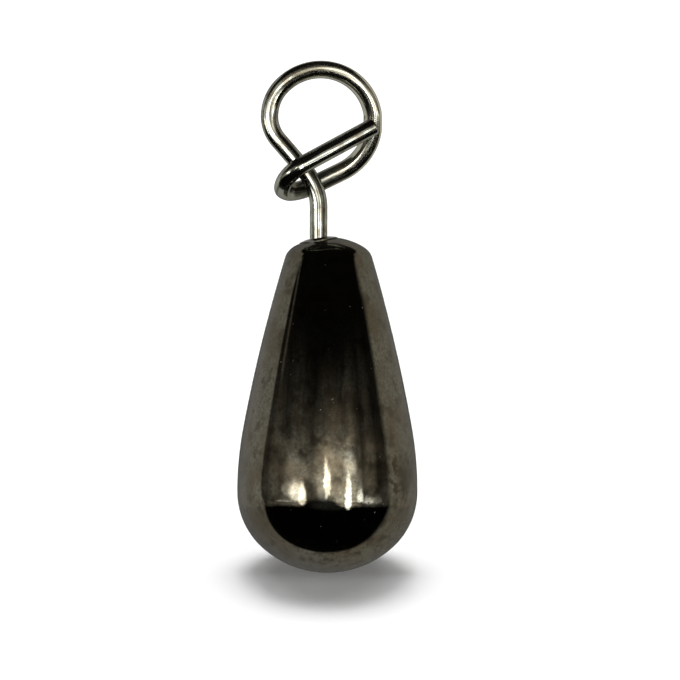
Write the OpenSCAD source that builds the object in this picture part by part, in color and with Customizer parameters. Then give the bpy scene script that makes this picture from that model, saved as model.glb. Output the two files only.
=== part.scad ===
// Drop-shot sinker: a plated teardrop weight that turns freely on a formed wire eye.
// The eye is one length of round wire. Its cut end nips the line against the ring.
// Millimetres, +Z up. The origin lies on the stem's axis, at the middle of the ring.

/* [Weight] */
// Largest diameter of the teardrop
body_d = 8.75; // [7:0.01:10]
// Length of the teardrop, from its base to its nose
body_l = 16.3; // [14.5:0.1:24]
// Radius of the round base, as a share of half the largest diameter
base_share = 1.08; // [1:0.002:1.2]
// Radius of the turn between base and belly, as a share of half the largest diameter
knuckle_share = 0.829; // [0.5:0.001:0.95]
// Radius of the belly's curve above the widest place
belly_r = 17.5; // [10:0.1:18]
// Radius of the slight swell along the flank
flank_r = 77.5; // [50:0.5:400]
// Diameter where the flank ends under the nose
shoulder_d = 4.23; // [3.6:0.01:5.5]
// Radius that rounds the shoulder into the nose
shoulder_r = 0.91; // [0.4:0.01:1.2]
// Height of the nose above the end of the flank
nose_h = 1; // [0.8:0.01:1.6]

/* [Swivel] */
// Distance of the stem from the weight's own axis
stem_offset = 0.5; // [0:0.05:0.6]
// Diameter of the upset head on the wire
head_d = 1.25; // [1.1:0.01:1.4]
// Height of the head's rim
head_h = 0.4; // [0.2:0.05:0.8]
// Length of the barrel's neck round the stem
neck_l = 0.9; // [0.6:0.05:1.5]
// Free room under the head
head_room = 0.4; // [0.1:0.05:1]
// Wall of the barrel
barrel_wall = 0.25; // [0.15:0.01:0.3]
// Clearance round the stem and the head
run_clearance = 0.05; // [0.02:0.01:0.1]
// Play of the head along the stem
end_play = 0.05; // [0.02:0.01:0.2]
// Thickness of the bond round the barrel
bond_t = 0.06; // [0.04:0.01:0.1]
// Depth of the bond's edge below the nose
bond_recess = 0.08; // [0.02:0.01:0.2]
// Depth of the barrel's bond grooves
groove_t = 0.08; // [0.04:0.01:0.12]
// Width of a bond groove
groove_w = 0.25; // [0.1:0.05:0.4]

/* [Line eye] */
// Diameter of the wire
wire_d = 0.85; // [0.7:0.01:0.95]
// Straight wire between the nose and the first bend
stem_show = 1.38; // [0.8:0.01:3]
// Radius of the bend that leans the wire outwards
lean_r = 2.78; // [1.5:0.01:4]
// Angle of that lean
lean_turn = 41.2; // [35:0.1:50]
// Straight wire between the lean and the ring
lean_run = 1.94; // [0.8:0.01:2.5]
// Radius of the ring's low corner
corner_r = 1.72; // [1.3:0.01:2.5]
// Turn of that corner
corner_turn = 46.2; // [35:0.1:55]
// Radius of the ring's side
side_r = 2.06; // [1.6:0.01:3]
// Turn of that side
side_turn = 43.5; // [35:0.1:55]
// Radius of the ring's main bend
ring_r = 2.61; // [2.2:0.01:3.2]
// Turn of the ring's main bend
ring_turn = 195.6; // [185:0.1:205]
// Gap between crossing strands of the wire
strand_gap = 0.17; // [0.05:0.01:0.4]
// Straight wire past the stem before the hook
hook_lead = 0.1; // [0.05:0.01:0.6]
// Roll from the ring's plane to the hook's
hook_roll = -60.4; // [-70:0.1:-50]
// Roll between the hook's two bends
hook_tilt = 10.8; // [0:0.1:20]
// Turn of the hook's first bend
hook_start_turn = 49.5; // [40:0.1:70]
// Turn of the hook's second bend
hook_turn = 142.5; // [120:0.1:160]
// Radius of the hook's first bend, as a share of its second
hook_start_share = 1.54; // [1:0.01:1.7]
// Length of the cut end past the middle of the ring's wire
tip_past = 0.08; // [0:0.01:0.3]
// Chamfer that the cutter leaves on the tip
tip_chamfer = 0.08; // [0.02:0.01:0.2]

/* [Hidden] */
$fn = 48;
arc_smooth = 256;
overrun = 0.5;

// Between two bends the wire is fed a little. A straight laps into its bends, a hair thinner.
bend_feed = 0.05;
lap = 0.02;
skin = 0.002;

// Roll that turns the side to the opposite one
flip_roll = 180;

// The outline is a chain of tangent arcs. Each has its centre and radius.
body_r = body_d / 2;
base_r = base_share * body_r;
knuckle_r = knuckle_share * body_r;
belly_z = base_r - sqrt(pow(base_r - knuckle_r, 2) - pow(body_r - knuckle_r, 2));
base_c = [0, base_r];
knuckle_c = [body_r - knuckle_r, belly_z];
belly_c = [body_r - belly_r, belly_z];

// The flank touches the belly's arc and ends at the shoulder.
shoulder = [shoulder_d / 2, body_l - nose_h];
swell = flank_r - belly_r;
span = shoulder - belly_c;
flank_fit = (flank_r * flank_r - swell * swell - span * span) / (2 * swell * norm(span));
flank_turn = atan2(span.y, span.x) - acos(flank_fit);
flank_c = belly_c - swell * [cos(flank_turn), sin(flank_turn)];
shoulder_turn = asin((shoulder.y - flank_c.y) / flank_r);
shoulder_c = shoulder - shoulder_r * [cos(shoulder_turn), sin(shoulder_turn)];

// The nose is the dome that touches the shoulder's arc and tops out at body_l.
crown = body_l - shoulder_c.y;
nose_r = (pow(shoulder_c.x, 2) + crown * crown - shoulder_r * shoulder_r) / (2 * (crown - shoulder_r));
nose_c = [0, body_l - nose_r];

// Height where a circle inside a larger one touches it
function touch_z(c, r, inner_c) = c.y + r * (inner_c.y - c.y) / norm(inner_c - c);

base_top = touch_z(base_c, base_r, knuckle_c);
belly_top = belly_z + belly_r * sin(flank_turn);
nose_low = touch_z(nose_c, nose_r, shoulder_c);

// Sizes of the swivel, from the wire outwards. Depths count down from the nose.
neck_d = wire_d + 2 * run_clearance;
cavity_d = head_d + 2 * run_clearance;
barrel_d = cavity_d + 2 * barrel_wall;
bore_d = barrel_d + 2 * bond_t;
head_cone = (head_d - wire_d) / 2;
stem_in = neck_l + end_play;
cavity_depth = stem_in + head_cone + head_h + head_room;
barrel_depth = cavity_depth + barrel_wall;
bore_depth = barrel_depth + bond_t;
groove_depths = [for (share = [0.45, 0.75]) share * barrel_depth];

// The strands cross one step apart, so the ring leans back and the hook goes round.
strand_step = wire_d + strand_gap;
hook_r = strand_step / sin(abs(hook_roll) + hook_tilt / 2);
hook_start_r = hook_start_share * hook_r;

// A frame is [place, travel, side]. A bend is [feed, roll, radius, turn], as a wire bender
// takes it: feed straight, roll the side about the travel, then turn towards the side.
function rolled(f, roll) = [f[0], f[1], f[2] * cos(roll) + cross(f[1], f[2]) * sin(roll)];
function turned(f, r, turn) = [
    f[0] + r * (f[2] * (1 - cos(turn)) + f[1] * sin(turn)),
    f[1] * cos(turn) + f[2] * sin(turn),
    f[2] * cos(turn) - f[1] * sin(turn)
];
function fed(f, feed) = [f[0] + feed * f[1], f[1], f[2]];
function bent(f, b) = turned(rolled(fed(f, b[0]), b[1]), b[2], b[3]);
function walk(f, bends, i = 0) =
    i == len(bends) ? [f] : concat([f], walk(bent(f, bends[i]), bends, i + 1));

// Upright frame on the stem's axis, with its side towards +X
function upright(z) = [[0, 0, z], [0, 0, 1], [1, 0, 0]];

// Lean and ring, with the ring flat. Its main bend starts where the ring starts to lean back.
start = upright(-stem_in);
lean = [stem_in + stem_show, flip_roll, lean_r, lean_turn];
corner = [lean_run, flip_roll, corner_r, corner_turn];
side = [bend_feed, 0, side_r, side_turn];
ring_frame = walk(start, [lean, corner, side])[3];
flat_end = turned(ring_frame, ring_r, ring_turn);
cross_run = -flat_end[0].x / flat_end[1].x;
cross_drop = ring_r * (1 - cos(ring_turn)) + cross_run * sin(ring_turn);
ring_roll = asin(strand_step / cross_drop);
ring_c = ring_frame[0] + ring_r * rolled(ring_frame, ring_roll)[2];
eye_rise = ring_c.z;

bends = [
    lean,
    corner,
    side,
    [bend_feed, ring_roll, ring_r, ring_turn],
    [cross_run + hook_lead, hook_roll, hook_start_r, hook_start_turn],
    [bend_feed, hook_tilt, hook_r, hook_turn]
];
frames = walk(start, bends);

// The tail runs until its tip lies over the ring, as seen from the front.
function flat(v) = [v.x, v.z];
tail = frames[len(bends)];
tail_flat = norm(flat(tail[1]));
tail_dir = flat(tail[1]) / tail_flat;
tail_from = flat(tail[0] - ring_c);
tail_toward = tail_from * tail_dir;
tail_reach = sqrt(tail_toward * tail_toward - tail_from * tail_from + ring_r * ring_r) - tail_toward;
tail_l = (tail_reach + tip_past) / tail_flat;

// Everything above a height
module above(z) {
    translate([0, z]) square([body_d, body_l]);
}

// Part of the outline between two heights, bounded outside by one arc
module arc_band(c, r, low, high) {
    difference() {
        union() {
            intersection() {
                translate(c) circle(r, $fn = arc_smooth);
                above(low);
            }
            if (c.x > 0) translate([0, low]) square([c.x, body_l]);
        }
        above(high);
    }
}

// Solid teardrop, without its bore, with its nose at z = 0
module teardrop() {
    translate([stem_offset, 0, -body_l]) rotate_extrude() {
        arc_band(base_c, base_r, -overrun, base_top);
        arc_band(knuckle_c, knuckle_r, base_top, belly_z);
        arc_band(belly_c, belly_r, belly_z, belly_top);
        arc_band(flank_c, flank_r, belly_top, shoulder.y);
        arc_band(shoulder_c, shoulder_r, shoulder.y, nose_low);
        arc_band(nose_c, nose_r, nose_low, body_l + overrun);
    }
}

// Round space of a given diameter, from a depth up through the nose
module shaft_space(d, depth) {
    translate([0, 0, -depth]) cylinder(d = d, h = depth + overrun);
}

// Outside of the barrel, with its two bond grooves
module barrel_blank() {
    difference() {
        shaft_space(barrel_d, barrel_depth);
        for (depth = groove_depths) translate([0, 0, -depth]) difference() {
            cylinder(d = bore_d, h = groove_w);
            cylinder(d = barrel_d - 2 * groove_t, h = groove_w);
        }
    }
}

module weight_body() {
    color([0.2, 0.19, 0.16]) translate([0, 0, -eye_rise]) difference() {
        teardrop();
        shaft_space(bore_d, bore_depth);
    }
}

// Drawn cup, closed over the wire's head and ground flush with the nose
module swivel_barrel() {
    color([0.72, 0.58, 0.3]) translate([0, 0, -eye_rise]) difference() {
        intersection() {
            barrel_blank();
            teardrop();
        }
        shaft_space(neck_d, neck_l + overrun);
        translate([0, 0, -neck_l - head_cone]) cylinder(d1 = cavity_d, d2 = neck_d, h = head_cone);
        translate([0, 0, -cavity_depth]) cylinder(d = cavity_d, h = cavity_depth - neck_l - head_cone);
    }
}

module barrel_bond() {
    color([0.35, 0.33, 0.26]) translate([0, 0, -eye_rise]) difference() {
        intersection() {
            shaft_space(bore_d, bore_depth);
            translate([0, 0, -bond_recess]) teardrop();
        }
        barrel_blank();
    }
}

// Upset head, with the cone that bears in the barrel
module wire_head() {
    translate([0, 0, -stem_in - head_cone]) cylinder(d1 = head_d, d2 = wire_d, h = head_cone);
    translate([0, 0, -stem_in - head_cone - head_h]) cylinder(d = head_d, h = head_h);
}

// Moves its children into a frame, with Z along the travel and X towards the side
module in_frame(f) {
    across = cross(f[1], f[2]);
    multmatrix([
        [f[2].x, across.x, f[1].x, f[0].x],
        [f[2].y, across.y, f[1].y, f[0].y],
        [f[2].z, across.z, f[1].z, f[0].z]
    ]) children();
}

// One straight and the bend after it, along Z and then towards X
module wire_bend(feed, r, turn) {
    translate([0, 0, -lap]) cylinder(d = wire_d - 2 * skin, h = feed + 2 * lap);
    translate([r, 0, feed]) rotate([90, 0, 0]) rotate([0, 0, 180 - turn])
        rotate_extrude(angle = turn) translate([r, 0]) circle(d = wire_d);
}

module eye_wire() {
    color([0.45, 0.44, 0.4]) translate([0, 0, -eye_rise]) {
        wire_head();
        for (i = [0 : len(bends) - 1])
            in_frame(rolled(frames[i], bends[i][1])) wire_bend(bends[i][0], bends[i][2], bends[i][3]);
        in_frame(tail) {
            translate([0, 0, -lap]) cylinder(d = wire_d - 2 * skin, h = lap + tail_l - tip_chamfer);
            translate([0, 0, tail_l - tip_chamfer])
                cylinder(d1 = wire_d - 2 * skin, d2 = wire_d - 2 * tip_chamfer, h = tip_chamfer);
        }
    }
}

weight_body();
swivel_barrel();
barrel_bond();
eye_wire();
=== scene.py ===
import math

import bpy
import numpy as np
from mathutils import Matrix, Vector, noise


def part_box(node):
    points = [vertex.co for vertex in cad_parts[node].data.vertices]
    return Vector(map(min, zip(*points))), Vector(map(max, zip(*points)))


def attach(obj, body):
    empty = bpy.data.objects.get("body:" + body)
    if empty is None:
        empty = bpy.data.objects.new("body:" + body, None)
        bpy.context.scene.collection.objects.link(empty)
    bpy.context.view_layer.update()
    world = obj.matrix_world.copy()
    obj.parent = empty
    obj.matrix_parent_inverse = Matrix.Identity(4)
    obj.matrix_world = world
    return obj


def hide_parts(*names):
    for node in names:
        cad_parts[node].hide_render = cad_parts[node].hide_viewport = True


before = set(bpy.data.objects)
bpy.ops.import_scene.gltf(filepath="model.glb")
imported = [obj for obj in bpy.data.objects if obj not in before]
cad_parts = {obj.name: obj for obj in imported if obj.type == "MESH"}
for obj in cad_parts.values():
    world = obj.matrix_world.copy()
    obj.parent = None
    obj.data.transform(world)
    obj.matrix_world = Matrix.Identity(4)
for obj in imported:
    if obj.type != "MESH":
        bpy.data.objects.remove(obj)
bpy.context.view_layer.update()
mm = 0.001


# Weight: the teardrop is pressed and sintered tungsten alloy, ground and polished by hand
# and then plated with dark nickel. Its outline is a chain of tangent arcs turned about its
# own axis, and the bore for the swivel is drilled beside that axis, through the nose.
weight_low, weight_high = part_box("weight_body")
body_r = (weight_high.x - weight_low.x) / 2
body_l = weight_high.z - weight_low.z
axis_x = (weight_low.x + weight_high.x) / 2
base_r = 1.08 * body_r
knuckle_r = 0.829 * body_r
belly_r = 17.5 * mm
flank_r = 77.5 * mm
shoulder_d = 4.23 * mm
shoulder_r = 0.91 * mm
nose_h = 1 * mm
ground_off = 0.0066 * mm
ripple_swing = 0.003 * mm
ripple_size = 2.6 * mm
ripple_fade_r = 0.3 * body_r
bore_low, bore_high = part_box("barrel_bond")
bore_r = (bore_high.x - bore_low.x) / 2
bore_lip = 0.02 * mm
stain_place = (axis_x + 3.73 * mm, -2.24 * mm, weight_low.z + 4.9 * mm)
scuffs_full = 1 * mm
scuffs_end = 3 * mm


def on_arc(centre, radius, angle):
    """A point of an arc, as its distance from the axis and its height above the base."""
    return centre + radius * np.array([math.cos(angle), math.sin(angle)])


def outline_arcs():
    """The outline from the base to the nose: each arc's centre, radius and two end angles."""
    belly_z = base_r - math.sqrt((base_r - knuckle_r) ** 2 - (body_r - knuckle_r) ** 2)
    base_c = np.array([0, base_r])
    knuckle_c = np.array([body_r - knuckle_r, belly_z])
    belly_c = np.array([body_r - belly_r, belly_z])
    shoulder = np.array([shoulder_d / 2, body_l - nose_h])
    swell = flank_r - belly_r
    span = shoulder - belly_c
    reach = math.hypot(*span)

    # The law of cosines, in the triangle of the belly's centre, the flank's centre and the shoulder
    flank_fit = (flank_r**2 - swell**2 - reach**2) / (2 * swell * reach)
    flank_turn = math.atan2(span[1], span[0]) - math.acos(flank_fit)
    flank_c = on_arc(belly_c, -swell, flank_turn)
    shoulder_turn = math.asin((shoulder[1] - flank_c[1]) / flank_r)
    shoulder_c = on_arc(shoulder, -shoulder_r, shoulder_turn)
    crown = body_l - shoulder_c[1]
    nose_r = (shoulder_c[0] ** 2 + crown**2 - shoulder_r**2) / (2 * (crown - shoulder_r))
    nose_c = np.array([0, body_l - nose_r])
    base_turn = math.atan2(*(knuckle_c - base_c)[::-1])
    nose_turn = math.atan2(*(shoulder_c - nose_c)[::-1])
    return [
        (base_c, base_r, -math.pi / 2, base_turn),
        (knuckle_c, knuckle_r, base_turn, 0),
        (belly_c, belly_r, 0, flank_turn),
        (flank_c, flank_r, flank_turn, shoulder_turn),
        (shoulder_c, shoulder_r, shoulder_turn, nose_turn),
        (nose_c, nose_r, nose_turn, math.pi / 2),
    ]


def hand_ground(place, out):
    """A place of the surface, sunk by the faint ripple of hand grinding, which fades at the axis."""
    depth = ground_off + ripple_swing * noise.noise(place / ripple_size)
    from_axis = math.hypot(place.x - axis_x, place.y)
    return place - out * depth * min(1, from_axis / ripple_fade_r)


def weight_rings(around=224, arc_rings=(64, 30, 22, 64, 22), nose_rings=14, lip_turns=(30, 60, 90)):
    """Rings up the outline, across the nose to the bore beside the axis, and down the bore.

    arc_rings counts the rings on each arc below the nose, and lip_turns are the bore lip's."""
    arcs = outline_arcs()
    turns = np.arange(around) * 2 * math.pi / around
    unit = np.stack([np.cos(turns), np.sin(turns)], axis=1)
    base_z = weight_low.z
    rings = []
    for (centre, radius, low, high), count in zip(arcs, arc_rings):
        for angle in np.linspace(low, high, count, endpoint=False):
            r, z = on_arc(centre, radius, angle)
            ring = []
            for ux, uy in unit:
                out = Vector((ux * math.cos(angle), uy * math.cos(angle), math.sin(angle)))
                ring.append(hand_ground(Vector((axis_x + r * ux, r * uy, base_z + z)), out))
            rings.append(ring)

    # A point closes the base, so the ring of no size there is left out
    rings = rings[1:]
    nose_c, nose_r, nose_turn, _ = arcs[-1]

    def across_nose(x, y, drop=0.0):
        rise = math.sqrt(nose_r**2 - (x - axis_x) ** 2 - y**2)
        return Vector((x, y, base_z + nose_c[1] + rise - drop))

    brim_r = nose_r * math.cos(nose_turn)
    lip_r = bore_r + bore_lip
    for share in np.linspace(0.04, 1, nose_rings):
        ring = []
        for ux, uy in unit:
            brim = np.array([axis_x + brim_r * ux, brim_r * uy])
            edge = np.array([lip_r * ux, lip_r * uy])
            ring.append(across_nose(*(brim + (edge - brim) * share)))
        rings.append(ring)
    for turn in map(math.radians, lip_turns):
        r = lip_r - bore_lip * math.sin(turn)
        drop = bore_lip * (1 - math.cos(turn))
        rings.append([across_nose(r * ux, r * uy, drop) for ux, uy in unit])
    for r, z in [(bore_r, bore_low.z + bore_lip), (bore_r, bore_low.z), (bore_r / 2, bore_low.z)]:
        rings.append([Vector((r * ux, r * uy, z)) for ux, uy in unit])
    return rings


def closed_by_rings(name, rings, low_tip, high_tip):
    """A smooth closed mesh from rings of as many points each, with a point at either end."""
    around = len(rings[0])
    verts = [low_tip]
    for ring in rings:
        verts.extend(ring)
    verts.append(high_tip)
    last = len(verts) - 1
    faces = []
    for i in range(around):
        j = (i + 1) % around
        faces.append((0, 1 + j, 1 + i))
        faces.append((last, last - around + i, last - around + j))
        for k in range(len(rings) - 1):
            row = 1 + k * around
            faces.append((row + i, row + j, row + around + j, row + around + i))
    mesh = bpy.data.meshes.new(name)
    mesh.from_pydata([tuple(v) for v in verts], [], faces)
    mesh.polygons.foreach_set("use_smooth", [True] * len(mesh.polygons))
    mesh.update()
    piece = bpy.data.objects.new(name, mesh)
    bpy.context.scene.collection.objects.link(piece)
    return piece


class Shade:
    """A node tree, or one socket in it. Operators on a socket add Math nodes."""

    def __init__(self, tree, socket=None):
        self.tree = tree
        self.socket = socket

    def add(self, kind, settings=None, out=0, **values):
        """Adds a node: its settings first, then the values or links of its sockets.

        A socket goes by its name, or by at and its number."""
        made = self.tree.nodes.new("ShaderNode" + kind)
        for name, value in (settings or {}).items():
            if name == "stops":
                for extra in value[2:]:
                    made.color_ramp.elements.new(extra[0])
                for stop, (place, colour) in zip(made.color_ramp.elements, value):
                    stop.position = place
                    stop.color = (*colour, 1)
            else:
                setattr(made, name, value)
        for name, value in values.items():
            key = int(name[2:]) if name[:2] == "at" else name.replace("_", " ")
            if isinstance(value, Shade):
                self.tree.links.new(value.socket, made.inputs[key])
            else:
                made.inputs[key].default_value = value
        return Shade(self.tree, made.outputs[out] if len(made.outputs) else None)

    def output(self, number):
        """Another output of the node that has this socket."""
        return Shade(self.tree, self.socket.node.outputs[number])

    def maths(self, operation, one, two=0.0):
        """A Math node on two values or sockets."""
        return self.add("Math", {"operation": operation}, at0=one, at1=two)

    def __add__(self, other):
        return self.maths("ADD", self, other)

    def __sub__(self, other):
        return self.maths("SUBTRACT", self, other)

    def __mul__(self, other):
        return self.maths("MULTIPLY", self, other)

    def __truediv__(self, other):
        return self.maths("DIVIDE", self, other)

    def __rsub__(self, other):
        return self.maths("SUBTRACT", other, self)

    __radd__ = __add__
    __rmul__ = __mul__

    def step(self, low, high):
        """0 below low, 1 above high and smooth between them; low may be the larger."""
        smooth = {"interpolation_type": "SMOOTHSTEP"}
        return self.add("MapRange", smooth, Value=self, From_Min=low, From_Max=high)

    def mix(self, mask, one, two):
        """One colour where the mask is 0 and the other where it is 1."""
        return self.add("Mix", {"data_type": "RGBA"}, out=2, at0=mask, at6=one, at7=two)


def new_material(name):
    """An empty material, with its tree to add to."""
    material = bpy.data.materials.new(name)
    material.use_nodes = True
    material.node_tree.nodes.clear()
    return material, Shade(material.node_tree)


def rgb(r, g, b):
    """An opaque colour."""
    return (r, g, b, 1)


def painted_rim_shade(tree, surface, mirror):
    """Metal that mirrors no more at a slant than face on, turning flat and dark there: painted shade
    along the outline.
    """
    slant = tree.maths("POWER", tree.add("LayerWeight", out=1, Blend=0.5), 5.0) * (1 - mirror)
    # Painted shade: the flat dark colour that the outline turns to at a slant
    rim_shade_colour = rgb(0.02, 0.019, 0.016)
    rim_shade = tree.add("BsdfPrincipled", Base_Color=rim_shade_colour, Roughness=1.0, Specular_IOR_Level=0.0)
    return tree.add("MixShader", at0=slant / (slant + mirror), at1=surface, at2=rim_shade)


def dark_nickel():
    """Mirror plating with brown mottles, one stain, scuffs round the base and specks of dust."""
    material, tree = new_material("dark_nickel")
    nickel = rgb(0.15, 0.147, 0.12)
    browned = rgb(0.115, 0.098, 0.072)
    blotched = rgb(0.066, 0.056, 0.04)
    grained = rgb(0.082, 0.076, 0.056)
    stained = rgb(0.045, 0.037, 0.023)
    scratched = rgb(0.035, 0.03, 0.02)
    dusty = rgb(0.07, 0.067, 0.06)
    place = tree.add("TexCoord", out=3)

    cloud = tree.add("TexNoise", Vector=place, Scale=520, Detail=4, Roughness=0.55)
    blotch = tree.add("TexNoise", Vector=place, Scale=1500, Detail=3, Roughness=0.6)
    grain = tree.add("TexNoise", Vector=place, Scale=7000, Detail=2)
    colour = tree.mix(cloud.step(0.4, 0.62), nickel, browned)
    colour = tree.mix(blotch.step(0.5, 0.66) * 0.85, colour, blotched)
    colour = tree.mix(grain.step(0.4, 0.62) * 0.6, colour, grained)

    from_stain = tree.add("VectorMath", {"operation": "DISTANCE"}, out=1, at0=place, at1=stain_place)
    stain = (from_stain / mm + (blotch - 0.5) * 4).step(1.2, 0.5)
    colour = tree.mix(stain * 0.9, colour, stained)

    height = tree.add("SeparateXYZ", out=2, Vector=place) - weight_low.z
    scuff = tree.add("TexNoise", Vector=place, Scale=2600, Detail=2, Roughness=0.6)
    scuffed = height.step(scuffs_end, scuffs_full) * scuff.step(0.53, 0.6)
    colour = tree.mix(scuffed * 0.8, colour, scratched)

    speck = tree.add("TexVoronoi", Vector=place, Scale=2600, Randomness=1.0)
    rare = tree.add("TexNoise", Vector=place, Scale=900, Detail=2)
    dust = speck.step(0.14, 0.06) * rare.step(0.54, 0.6)
    colour = tree.mix(dust, colour, dusty)
    rough = 0.05 + cloud.step(0.35, 0.75) * 0.03 + dust * 0.5
    surface = tree.add("BsdfPrincipled", Base_Color=colour, Metallic=1 - dust, Roughness=rough)
    tree.add("OutputMaterial", Surface=painted_rim_shade(tree, surface, 0.12))
    return material


weight_base = Vector((axis_x, 0, weight_low.z))
bore_end = Vector((0, 0, bore_low.z))
weight = closed_by_rings("weight_shell", weight_rings(), weight_base, bore_end)
weight.data.materials.append(dark_nickel())
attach(weight, "weight")
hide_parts("weight_body")


# Swivel barrel: a small cup drawn from brass and closed over the wire's head. Its face was
# ground flush with the nose before plating, so it is dark, with brass where rubbing bared it.
def plated_brass():
    """Thin dark plating with brass that shows where rubbing bared it."""
    material, tree = new_material("plated_brass")
    place = tree.add("TexCoord", out=3)
    rubs = tree.add("TexNoise", Vector=place, Scale=3000, Detail=4, Roughness=0.6)
    colour = tree.mix(rubs.step(0.58, 0.78), rgb(0.05, 0.047, 0.038), rgb(0.2, 0.16, 0.09))
    surface = tree.add("BsdfPrincipled", Base_Color=colour, Metallic=1.0, Roughness=0.22 + rubs * 0.15)
    tree.add("OutputMaterial", Surface=surface)
    return material


def dress(node, material):
    """Gives a CAD node a material in place of its own."""
    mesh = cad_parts[node].data
    mesh.materials.clear()
    mesh.materials.append(material)


dress("swivel_barrel", plated_brass())


# Barrel bond: the film of dark epoxy that holds the barrel. It shrank a little below the
# nose as it cured, which leaves a thin dark ring round the barrel's face.
def dark_epoxy():
    """Glossy dark resin with a faintly cloudy skin."""
    material, tree = new_material("dark_epoxy")
    place = tree.add("TexCoord", out=3)
    skin = tree.add("TexNoise", Vector=place, Scale=2400, Detail=3)
    colour = tree.mix(skin, rgb(0.008, 0.007, 0.006), rgb(0.02, 0.017, 0.013))
    surface = tree.add("BsdfPrincipled", Base_Color=colour, Roughness=0.25 + skin * 0.2)
    tree.add("OutputMaterial", Surface=surface)
    return material


dress("barrel_bond", dark_epoxy())


# Line eye: one length of nickel-plated spring wire, upset to a head at its lower end and
# bent cold to the stem, ring, hook and tail. The cut tail nips the line against the ring.
wire_r = 0.425 * mm
head_r = 0.625 * mm
head_h = 0.4 * mm
head_profile = [(1, 0.9), (0.97, 0.97), (0.8, 1), (0, 1)]
stem_in = 0.95 * mm
stem_show = 1.38 * mm
lean_r = 2.78 * mm
lean_turn = 41.2
lean_run = 1.94 * mm
corner_r = 1.72 * mm
corner_turn = 46.2
side_r = 2.06 * mm
side_turn = 43.5
ring_r = 2.61 * mm
ring_turn = 195.6
strand_gap = 0.17 * mm
strand_step = 2 * wire_r + strand_gap
hook_lead = 0.1 * mm
hook_roll = -60.4
hook_tilt = 10.8
hook_start_turn = 49.5
hook_turn = 142.5
hook_start_share = 1.54
bend_feed = 0.05 * mm
flip_roll = 180
tip_past = 0.08 * mm
tip_chamfer = 0.08 * mm
tip_shares = (0.0, 0.3, 0.6, 0.85, 1.0)
tip_round = 1.6
pressed_from = 3 * mm
pressed_until = 24 * mm
pressed_ease = 2 * mm
flat_power = 2.5
flat_share = 0.98
oval_turn = math.radians(-135)
oval_share = 0.045

# Finish of the wire: in degrees round it, the painted reflection, a dark line down its front,
# and over which of its millimetres from the head the painted highlight on the ring and the
# bender's scuffs begin and end
painted_reflection_turns = (-88, 160)
highlight_start = (10, 12)
highlight_end = (20, 18.8)
scuffed_start = (18.4, 19.4)
scuffed_end = (24, 22)


class Bender:
    """The wire's centreline as a bender makes it: feed, roll the side, then turn to the side."""

    def __init__(self, place):
        self.place = Vector(place)
        self.travel = Vector((0, 0, 1))
        self.side = Vector((1, 0, 0))
        self.points = [self.place.copy()]

    def copy(self):
        """The same place and direction, to try a bend from."""
        other = Bender(self.place)
        other.travel = self.travel.copy()
        other.side = self.side.copy()
        return other

    def bend(self, feed, roll, radius, turn, step=0.06 * mm):
        """One feed, one roll of the side about the travel, and one turn on a radius."""
        count = max(1, round(feed / step))
        for _ in range(count):
            self.place = self.place + self.travel * feed / count
            self.points.append(self.place.copy())
        self.side = Matrix.Rotation(math.radians(roll), 3, self.travel) @ self.side
        count = round(radius * math.radians(turn) / step)
        for _ in range(count):
            angle = math.radians(turn) / count
            shift = self.side * (1 - math.cos(angle)) + self.travel * math.sin(angle)
            travel = self.travel * math.cos(angle) + self.side * math.sin(angle)
            self.side = self.side * math.cos(angle) - self.travel * math.sin(angle)
            self.travel = travel
            self.place = self.place + radius * shift
            self.points.append(self.place.copy())
        return self


def wire_line():
    """The points of the centreline from the underside of the head to the cut tip."""
    wire = Bender((0, 0, weight_high.z - stem_in))
    wire.bend(stem_in + stem_show, flip_roll, lean_r, lean_turn)
    wire.bend(lean_run, flip_roll, corner_r, corner_turn)
    wire.bend(bend_feed, 0, side_r, side_turn)

    # A level ring gives the roll that leans the ring back by one step where it crosses the stem
    level = wire.copy().bend(0, 0, ring_r, ring_turn)
    cross_run = -level.place.x / level.travel.x
    turn = math.radians(ring_turn)
    cross_drop = ring_r * (1 - math.cos(turn)) + cross_run * math.sin(turn)
    ring_roll = math.degrees(math.asin(strand_step / cross_drop))
    hook_r = strand_step / math.sin(math.radians(abs(hook_roll) + hook_tilt / 2))
    centre_side = Matrix.Rotation(math.radians(ring_roll), 3, wire.travel) @ wire.side
    ring_c = wire.place + ring_r * centre_side
    wire.bend(bend_feed, ring_roll, ring_r, ring_turn)
    wire.bend(cross_run + hook_lead, hook_roll, hook_start_share * hook_r, hook_start_turn)
    wire.bend(bend_feed, hook_tilt, hook_r, hook_turn)

    # The tail runs until its tip lies over the ring, as seen from the front
    flat_travel = Vector((wire.travel.x, wire.travel.z))
    flat_from = Vector((wire.place.x - ring_c.x, wire.place.z - ring_c.z))
    toward = flat_from @ flat_travel.normalized()
    reach = math.sqrt(toward**2 - flat_from @ flat_from + ring_r**2) - toward
    wire.bend((reach + tip_past) / flat_travel.length, 0, ring_r, 0)
    return wire.points


def eased(run):
    """0 before the start of a stretch, and 1 once the stretch is fully there."""
    return min(1, max(0, run / pressed_ease))


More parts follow.
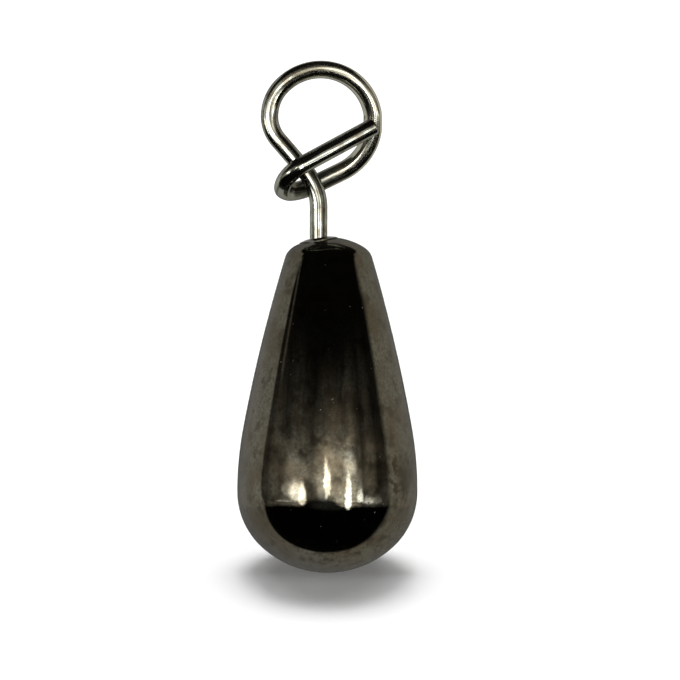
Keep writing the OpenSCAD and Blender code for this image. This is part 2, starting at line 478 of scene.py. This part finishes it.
def swept_rings(points, radii, around=64):
    """Sections along the points without twist, pressed a little flat and oval where it is bent.

    Each point of a section has a mark: its direction from the centreline, along side and
    across, and its run in millimetres."""
    rings = []
    marks = []
    side = Vector((1, 0, 0))
    run = 0.0
    for k, (point, radius) in enumerate(zip(points, radii)):
        before = points[max(0, k - 1)]
        after = points[min(len(points) - 1, k + 1)]
        travel = (after - before).normalized()
        side = (side - travel * (side @ travel)).normalized()
        across = travel.cross(side)
        run += (point - before).length
        pressed = eased(run - pressed_from)
        oval = oval_share * pressed * eased(pressed_until - run)
        power = 2 + (flat_power - 2) * pressed
        size = radius * (1 - (1 - flat_share) * pressed)
        ring = []
        for i in range(around):
            turn = 2 * math.pi * i / around
            squared = abs(math.cos(turn)) ** power + abs(math.sin(turn)) ** power
            reach = size * squared ** (-1 / power) * (1 + oval * math.cos(2 * (turn - oval_turn)))
            ring.append(point + reach * (side * math.cos(turn) + across * math.sin(turn)))
            marks.append((math.cos(turn), math.sin(turn), run / mm))
        rings.append(ring)
    return rings, marks


def line_eye():
    """The whole wire with its upset head below and its nipped-off tip above."""
    centres = wire_line()
    neck = centres[0]
    tip = centres[-1]
    head_cone = head_r - wire_r
    head = [neck - Vector((0, 0, head_cone + head_h * height)) for height, _ in head_profile]
    travel = (tip - centres[-2]).normalized()
    inner = tip - travel * tip_chamfer
    near_tip = 1 * mm
    hair = 0.001 * mm
    wire = [p for p in centres if (p - inner) @ travel < -hair or (p - tip).length > near_tip]
    nipped = [inner + travel * tip_chamfer * share for share in tip_shares]
    radii = [head_r * width for _, width in head_profile]
    radii += [wire_r] * len(wire)
    radii += [wire_r - tip_chamfer * share**tip_round for share in tip_shares]
    points = head + wire + nipped
    rings, marks = swept_rings(points, radii)
    piece = closed_by_rings("line_eye_wire", rings, points[0], points[-1])
    drawn = piece.data.attributes.new("drawn", "FLOAT_VECTOR", "POINT")
    all_marks = [marks[0], *marks, marks[-1]]
    drawn.data.foreach_set("vector", np.array(all_marks, np.float32).ravel())
    return piece


def plated_wire():
    """Bright nickel over drawn wire: lined along its length, with a painted reflection down its
    front, a painted highlight of brighter colour over the ring, and dulled where the hook was bent."""
    material, tree = new_material("plated_wire")
    bright = rgb(0.33, 0.345, 0.305)
    mottled = rgb(0.155, 0.14, 0.11)
    # Painted highlight: a brighter colour for the ring
    painted_highlight = rgb(0.8, 0.79, 0.66)
    # Dark colour of the faint drawing lines and of the painted reflection down the wire's front
    scored_and_reflected = rgb(0.04, 0.035, 0.025)
    place = tree.add("TexCoord", out=3)
    drawn = tree.add("Attribute", {"attribute_name": "drawn"}, out=1)
    side = tree.add("SeparateXYZ", Vector=drawn)
    across = side.output(1)
    run = side.output(2)

    cloud = tree.add("TexNoise", Vector=place, Scale=1300, Detail=4, Roughness=0.6)
    colour = tree.mix(cloud.step(0.4, 0.66), bright, mottled)
    # Painted highlight: the ring is made brighter between these runs
    highlight_mask = run.step(*highlight_start) * run.step(*highlight_end)
    colour = tree.mix(highlight_mask * 0.5, colour, painted_highlight)

    along = tree.add("VectorMath", {"operation": "MULTIPLY"}, at0=drawn, at1=(5, 5, 0.5))
    lines = tree.add("TexNoise", Vector=along, Scale=1.0, Detail=2, Roughness=0.5)
    # Painted reflection of the dark room in front: a dark line down the wire's front, plus faint
    # drawing lines all round
    scores_and_reflection = 0
    for turn in map(math.radians, painted_reflection_turns):
        toward = side * math.cos(turn) + across * math.sin(turn)
        scores_and_reflection = toward.step(0.982, 0.996) + scores_and_reflection
    scores_and_reflection = scores_and_reflection * lines.step(0.38, 0.55) + lines.step(0.62, 0.7) * 0.5
    colour = tree.mix(scores_and_reflection * 0.7, colour, scored_and_reflected)

    along = tree.add("VectorMath", {"operation": "MULTIPLY"}, at0=drawn, at1=(2.4, 2.4, 0.3))
    ridges = tree.add("TexNoise", Vector=along, Scale=1.0, Detail=1, Roughness=0.4)
    ridged = tree.add("Bump", Strength=1.0, Distance=0.025 * mm, Height=ridges)
    metal = {"Base_Color": colour, "Metallic": 1.0, "Normal": ridged}
    polished = tree.add("BsdfPrincipled", Roughness=0.06, **metal)
    brushed = tree.add("BsdfPrincipled", Roughness=0.3, **metal)
    scuffed = run.step(*scuffed_start) * run.step(*scuffed_end)
    share = 0.08 + 0.3 * cloud.step(0.35, 0.65) + 0.5 * scuffed
    surface = tree.add("MixShader", at0=share, at1=polished, at2=brushed)
    tree.add("OutputMaterial", Surface=painted_rim_shade(tree, surface, 0.2))
    return material


eye = line_eye()
eye.data.materials.append(plated_wire())
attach(eye, "eye")
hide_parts("eye_wire")


# Studio: a plain white sheet and surround, and soft light from above that lays a small soft
# shadow round the base. The metal mirrors a pale wall behind it and a dark room in front,
# whose lamps make the bright streaks and whose haze makes the brown glow round them.
room = 2.0
surround_share = 1.1
floor_z = weight_low.z
front_slope = math.tan(math.radians(20.5))
back_slope = math.tan(math.radians(12))
slope_ease = 1.5 * mm
front_run = 14 * mm
back_run = 9 * mm

# Rows across the sheet, close together where it eases into its slopes
sheet_rows = [-room, *np.arange(-16, 11.01, 0.25) * mm, room]

sun_total = 3.3
sun_spread = 27
fill_energy = 0.5
fill_spread = 120
fill_lean = 50

# Each overhead sun's lean forward and sideways, and its share of the light
overheads = [(0, 0, 0.35), (-7, 0, 0.35), (0, -22, 0.15), (0, 22, 0.15)]

# The haze's full strength, and the faint light of the whole room above its floor
haze_strength = 5
room_light = 0.008

# How far round the room from its left to its right, and how bright the haze is there
haze_levels = [
    (0.03, 0.06),
    (0.15, 0.11),
    (0.25, 0.3),
    (0.39, 0.22),
    (0.46, 0.75),
    (0.5, 1.0),
    (0.56, 0.85),
    (0.67, 0.9),
    (0.72, 0.28),
    (0.76, 0.1),
    (0.81, 0.22),
    (0.84, 0.17),
    (0.88, 0.05),
]

# Each lamp's heading and half width, its rise and half height, all in degrees, then how much
# of it is fully lit and how strong it is. Five make the left streak with its glow, three the
# middle one and two the right one. The rest are three low glints and a faint light below.
room_lamps = [
    (-32, 5, -6.5, 6.5, 0.4, 8.5),
    (-39, 12, -3.5, 4, 0.0, 7),
    (-48, 13, -2.5, 2.4, 0.0, 2),
    (-42, 17, 3, 6, 0.0, 0.5),
    (-53, 17, -7.8, 1.1, 0.3, 1.3),
    (0, 4.5, -0.2, 4.8, 0.5, 10),
    (-2, 2, 4.5, 4, 0.5, 8),
    (-6, 8, -1, 6, 0.0, 1.0),
    (27, 4.5, -8, 11, 0.5, 10),
    (29, 9, 5, 6, 0.0, 1.5),
    (42, 5, -5.5, 3.5, 0.1, 6),
    (54, 9, -8, 3.2, 0.0, 3),
    (66, 9, -8, 4, 0.0, 0.6),
    (4, 30, -12, 9, 0.0, 0.07),
]


def white_paper():
    """Matt white sheet, which glows a little so that it stays white under the soft light."""
    material, tree = new_material("white_paper")
    glow = {"Emission_Color": rgb(1, 1, 1), "Emission_Strength": 0.13}
    matt = {"Base_Color": rgb(0.9, 0.9, 0.9), "Roughness": 1.0, "Specular_IOR_Level": 0.0}
    tree.add("OutputMaterial", Surface=tree.add("BsdfPrincipled", **matt, **glow))
    return material


def white_glow():
    """Evenly lit white, for the surround."""
    material, tree = new_material("white_glow")
    tree.add("OutputMaterial", Surface=tree.add("Emission", Color=rgb(1, 1, 1), Strength=1.2))
    return material


def stage_piece(name, verts, faces, material):
    """A piece of the studio, which the metal doesn't mirror."""
    mesh = bpy.data.meshes.new(name)
    mesh.from_pydata(verts, [], faces)
    mesh.materials.append(material)
    piece = bpy.data.objects.new(name, mesh)
    bpy.context.scene.collection.objects.link(piece)
    piece.visible_glossy = False
    piece.visible_transmission = False
    return piece


def floor_height(y):
    """The sheet's height: it eases into one slope down in front and another up behind."""
    slope = front_slope if y < 0 else back_slope
    run = min(abs(y), front_run if y < 0 else back_run)
    ease = min(run, slope_ease)
    return floor_z + math.copysign(slope * (run - ease + ease**2 / (2 * slope_ease)), y)


def soft_sun(name, energy, spread, forward, sideways):
    """Even light from above, with its spread and its two leans in degrees."""
    lamp = bpy.data.lights.new(name, "SUN")
    lamp.energy = energy
    lamp.angle = math.radians(spread)
    holder = bpy.data.objects.new(name, lamp)
    holder.rotation_euler = (math.radians(forward), math.radians(sideways), 0)
    holder.visible_glossy = False
    bpy.context.scene.collection.objects.link(holder)


sheet = [(x, y, floor_height(y)) for y in sheet_rows for x in (-room, room)]
strips = [(2 * k, 2 * k + 1, 2 * k + 3, 2 * k + 2) for k in range(len(sheet_rows) - 1)]
stage_piece("floor", sheet, strips, white_paper())
far = surround_share * room
corners = [(-far, -far), (far, -far), (far, far), (-far, far)]
walls = [(x, y, z) for z in (-room, room) for x, y in corners]
wall_faces = [(0, 1, 5, 4), (1, 2, 6, 5), (2, 3, 7, 6), (3, 0, 4, 7), (4, 5, 6, 7), (0, 1, 2, 3)]
surround = stage_piece("surround", walls, wall_faces, white_glow())
surround.visible_diffuse = False
surround.visible_shadow = False
for forward, sideways, share in overheads:
    soft_sun("overhead", sun_total * share, sun_spread, forward, sideways)
soft_sun("fill", fill_energy, fill_spread, fill_lean, 0)


def pale_wall(tree, x, y, z, ragged):
    """Where the wall behind is seen: up to an uneven upright edge on either side, and not overhead."""
    right = x.step(0, 1)
    above = tree.maths("MAXIMUM", z - 0.42, 0.0)
    edge = y + 0.2 * z - (1.0 + 0.15 * right) * above + ragged * 0.03
    inset = 0.12 * (1 - right) * z.step(-0.2, -0.04) + 0.07 * right * z.step(-0.7, -0.2)
    edge = edge - inset * z.step(0.42, 0.34)
    dark_middle = 0.85 * y.step(0.94, 0.985)
    return edge.step(-0.1 - 0.12 * right, -0.04) * z.step(0.74, 0.69) * (1 - dark_middle)


def lamp_haze(tree, turn, azimuth, elevation, cloud):
    """The lamps' glow in the room: it thins out upwards and ends at the dark floor."""
    stops = [(place, (level, level, level)) for place, level in haze_levels]
    level = tree.add("ValToRGB", {"stops": stops}, Fac=(turn + 90) / 180)
    middle = azimuth.step(-36, -18) * azimuth.step(20, 4)
    thinned = tree.maths("POWER", elevation.step(25, 3), 1.5)
    above_floor = (elevation - 8 * middle + 4 * cloud).step(-14, 4 * middle - 9)
    haze = thinned * above_floor * level * cloud.step(0.2, 0.75) * haze_strength
    return haze + room_light * elevation.step(-12, 0)


def side_glow(turn, azimuth, elevation, ragged):
    """Two dim upright gleams at the left of the room, a broad low one and a narrow high one."""
    broad = azimuth.step(-84, -78) * azimuth.step(-62, -70)
    broad = broad * elevation.step(-12, -9) * elevation.step(20, 8)
    swayed = turn + ragged * 2
    narrow = swayed.step(-83, -80) * swayed.step(-75.5, -78.5)
    narrow = narrow * elevation.step(13, 18) * elevation.step(34, 28)
    return broad * 0.1 + narrow * 0.2


def lamp_light(azimuth, elevation):
    """The lamps, each a soft ellipse."""
    light = 0
    for heading, half_width, rise, half_height, fully_lit, strength in room_lamps:
        wide = (azimuth - heading) / half_width
        tall = (elevation - rise) / half_height
        light = light + (wide * wide + tall * tall).step(1.3, fully_lit) * strength
    return light


def studio_world():
    """What the polished metal mirrors, by direction: azimuth from the front and elevation."""
    world = bpy.data.worlds.new("studio")
    world.use_nodes = True
    world.node_tree.nodes.clear()
    world.cycles_visibility.diffuse = False
    tree = Shade(world.node_tree)
    dark = rgb(0.003, 0.003, 0.003)
    left_wall = rgb(0.6, 0.59, 0.55)
    right_wall = rgb(0.62, 0.59, 0.515)
    haze_colour = rgb(1.0, 0.93, 0.82)
    lamp_colour = rgb(0.98, 1.0, 1.0)
    x = tree.add("SeparateXYZ", Vector=tree.add("TexCoord"))
    y = x.output(1)
    z = x.output(2)
    turn = tree.maths("ARCTAN2", x, 0 - y) * (180 / math.pi)
    rise = tree.maths("ARCSINE", z) * (180 / math.pi)

    # Noise drawn out upright frays the edges, so that no light ends in a clean line
    flat = tree.add("CombineXYZ", X=turn / 30, Y=rise / 6)
    cloud = tree.add("TexNoise", Vector=flat, Scale=1.0, Detail=5, Roughness=0.65)
    ragged = tree.add("TexNoise", Vector=flat, Scale=5, Detail=2) - 0.5
    frayed = tree.add("TexNoise", Vector=flat, Scale=7, Detail=2) - 0.5
    azimuth = turn + ragged * 7
    elevation = rise + frayed * 3

    wall = tree.mix(x.step(-0.3, 0.3), left_wall, right_wall)
    light = tree.mix(pale_wall(tree, x, y, z, ragged), dark, wall)
    haze = lamp_haze(tree, turn, azimuth, elevation, cloud)
    haze = haze + side_glow(turn, azimuth, elevation, ragged)
    added = {"data_type": "RGBA", "blend_type": "ADD", "clamp_factor": False}
    for amount, colour in [(haze, haze_colour), (lamp_light(azimuth, elevation), lamp_colour)]:
        light = tree.add("Mix", added, out=2, at0=amount, at6=light, at7=colour)
    tree.add("OutputWorld", Surface=tree.add("Background", Color=light, Strength=1.0))
    return world


bpy.context.scene.world = studio_world()
bpy.context.scene.view_settings.view_transform = "Standard"


# Camera: at a hand's length, looking down a little, with the lens that frames the sinker as
# it was photographed. It leans by a third of a degree, as the sinker does in the picture.
frame_w = 32.9 * mm
camera_far = 150 * mm
camera_rise = math.radians(3)
camera_lean = math.radians(0.35)
aim_right = 1.07 * mm
aim_below_nose = 4.976 * mm
sensor_w = 36
aim = Vector((aim_right, 0, weight_high.z - aim_below_nose))
back = Vector((0, -math.cos(camera_rise), math.sin(camera_rise)))
camera_data = bpy.data.cameras.new("camera")
camera_data.sensor_width = sensor_w
camera_data.lens = sensor_w * camera_far / frame_w
camera_data.clip_start = 0.01
camera_data.clip_end = 20
camera = bpy.data.objects.new("camera", camera_data)
camera.location = aim + back * camera_far
camera.rotation_mode = "QUATERNION"
lean = Matrix.Rotation(camera_lean, 3, "Z").to_quaternion()
camera.rotation_quaternion = (-back).to_track_quat("-Z", "Y") @ lean
bpy.context.scene.collection.objects.link(camera)
bpy.context.scene.camera = camera
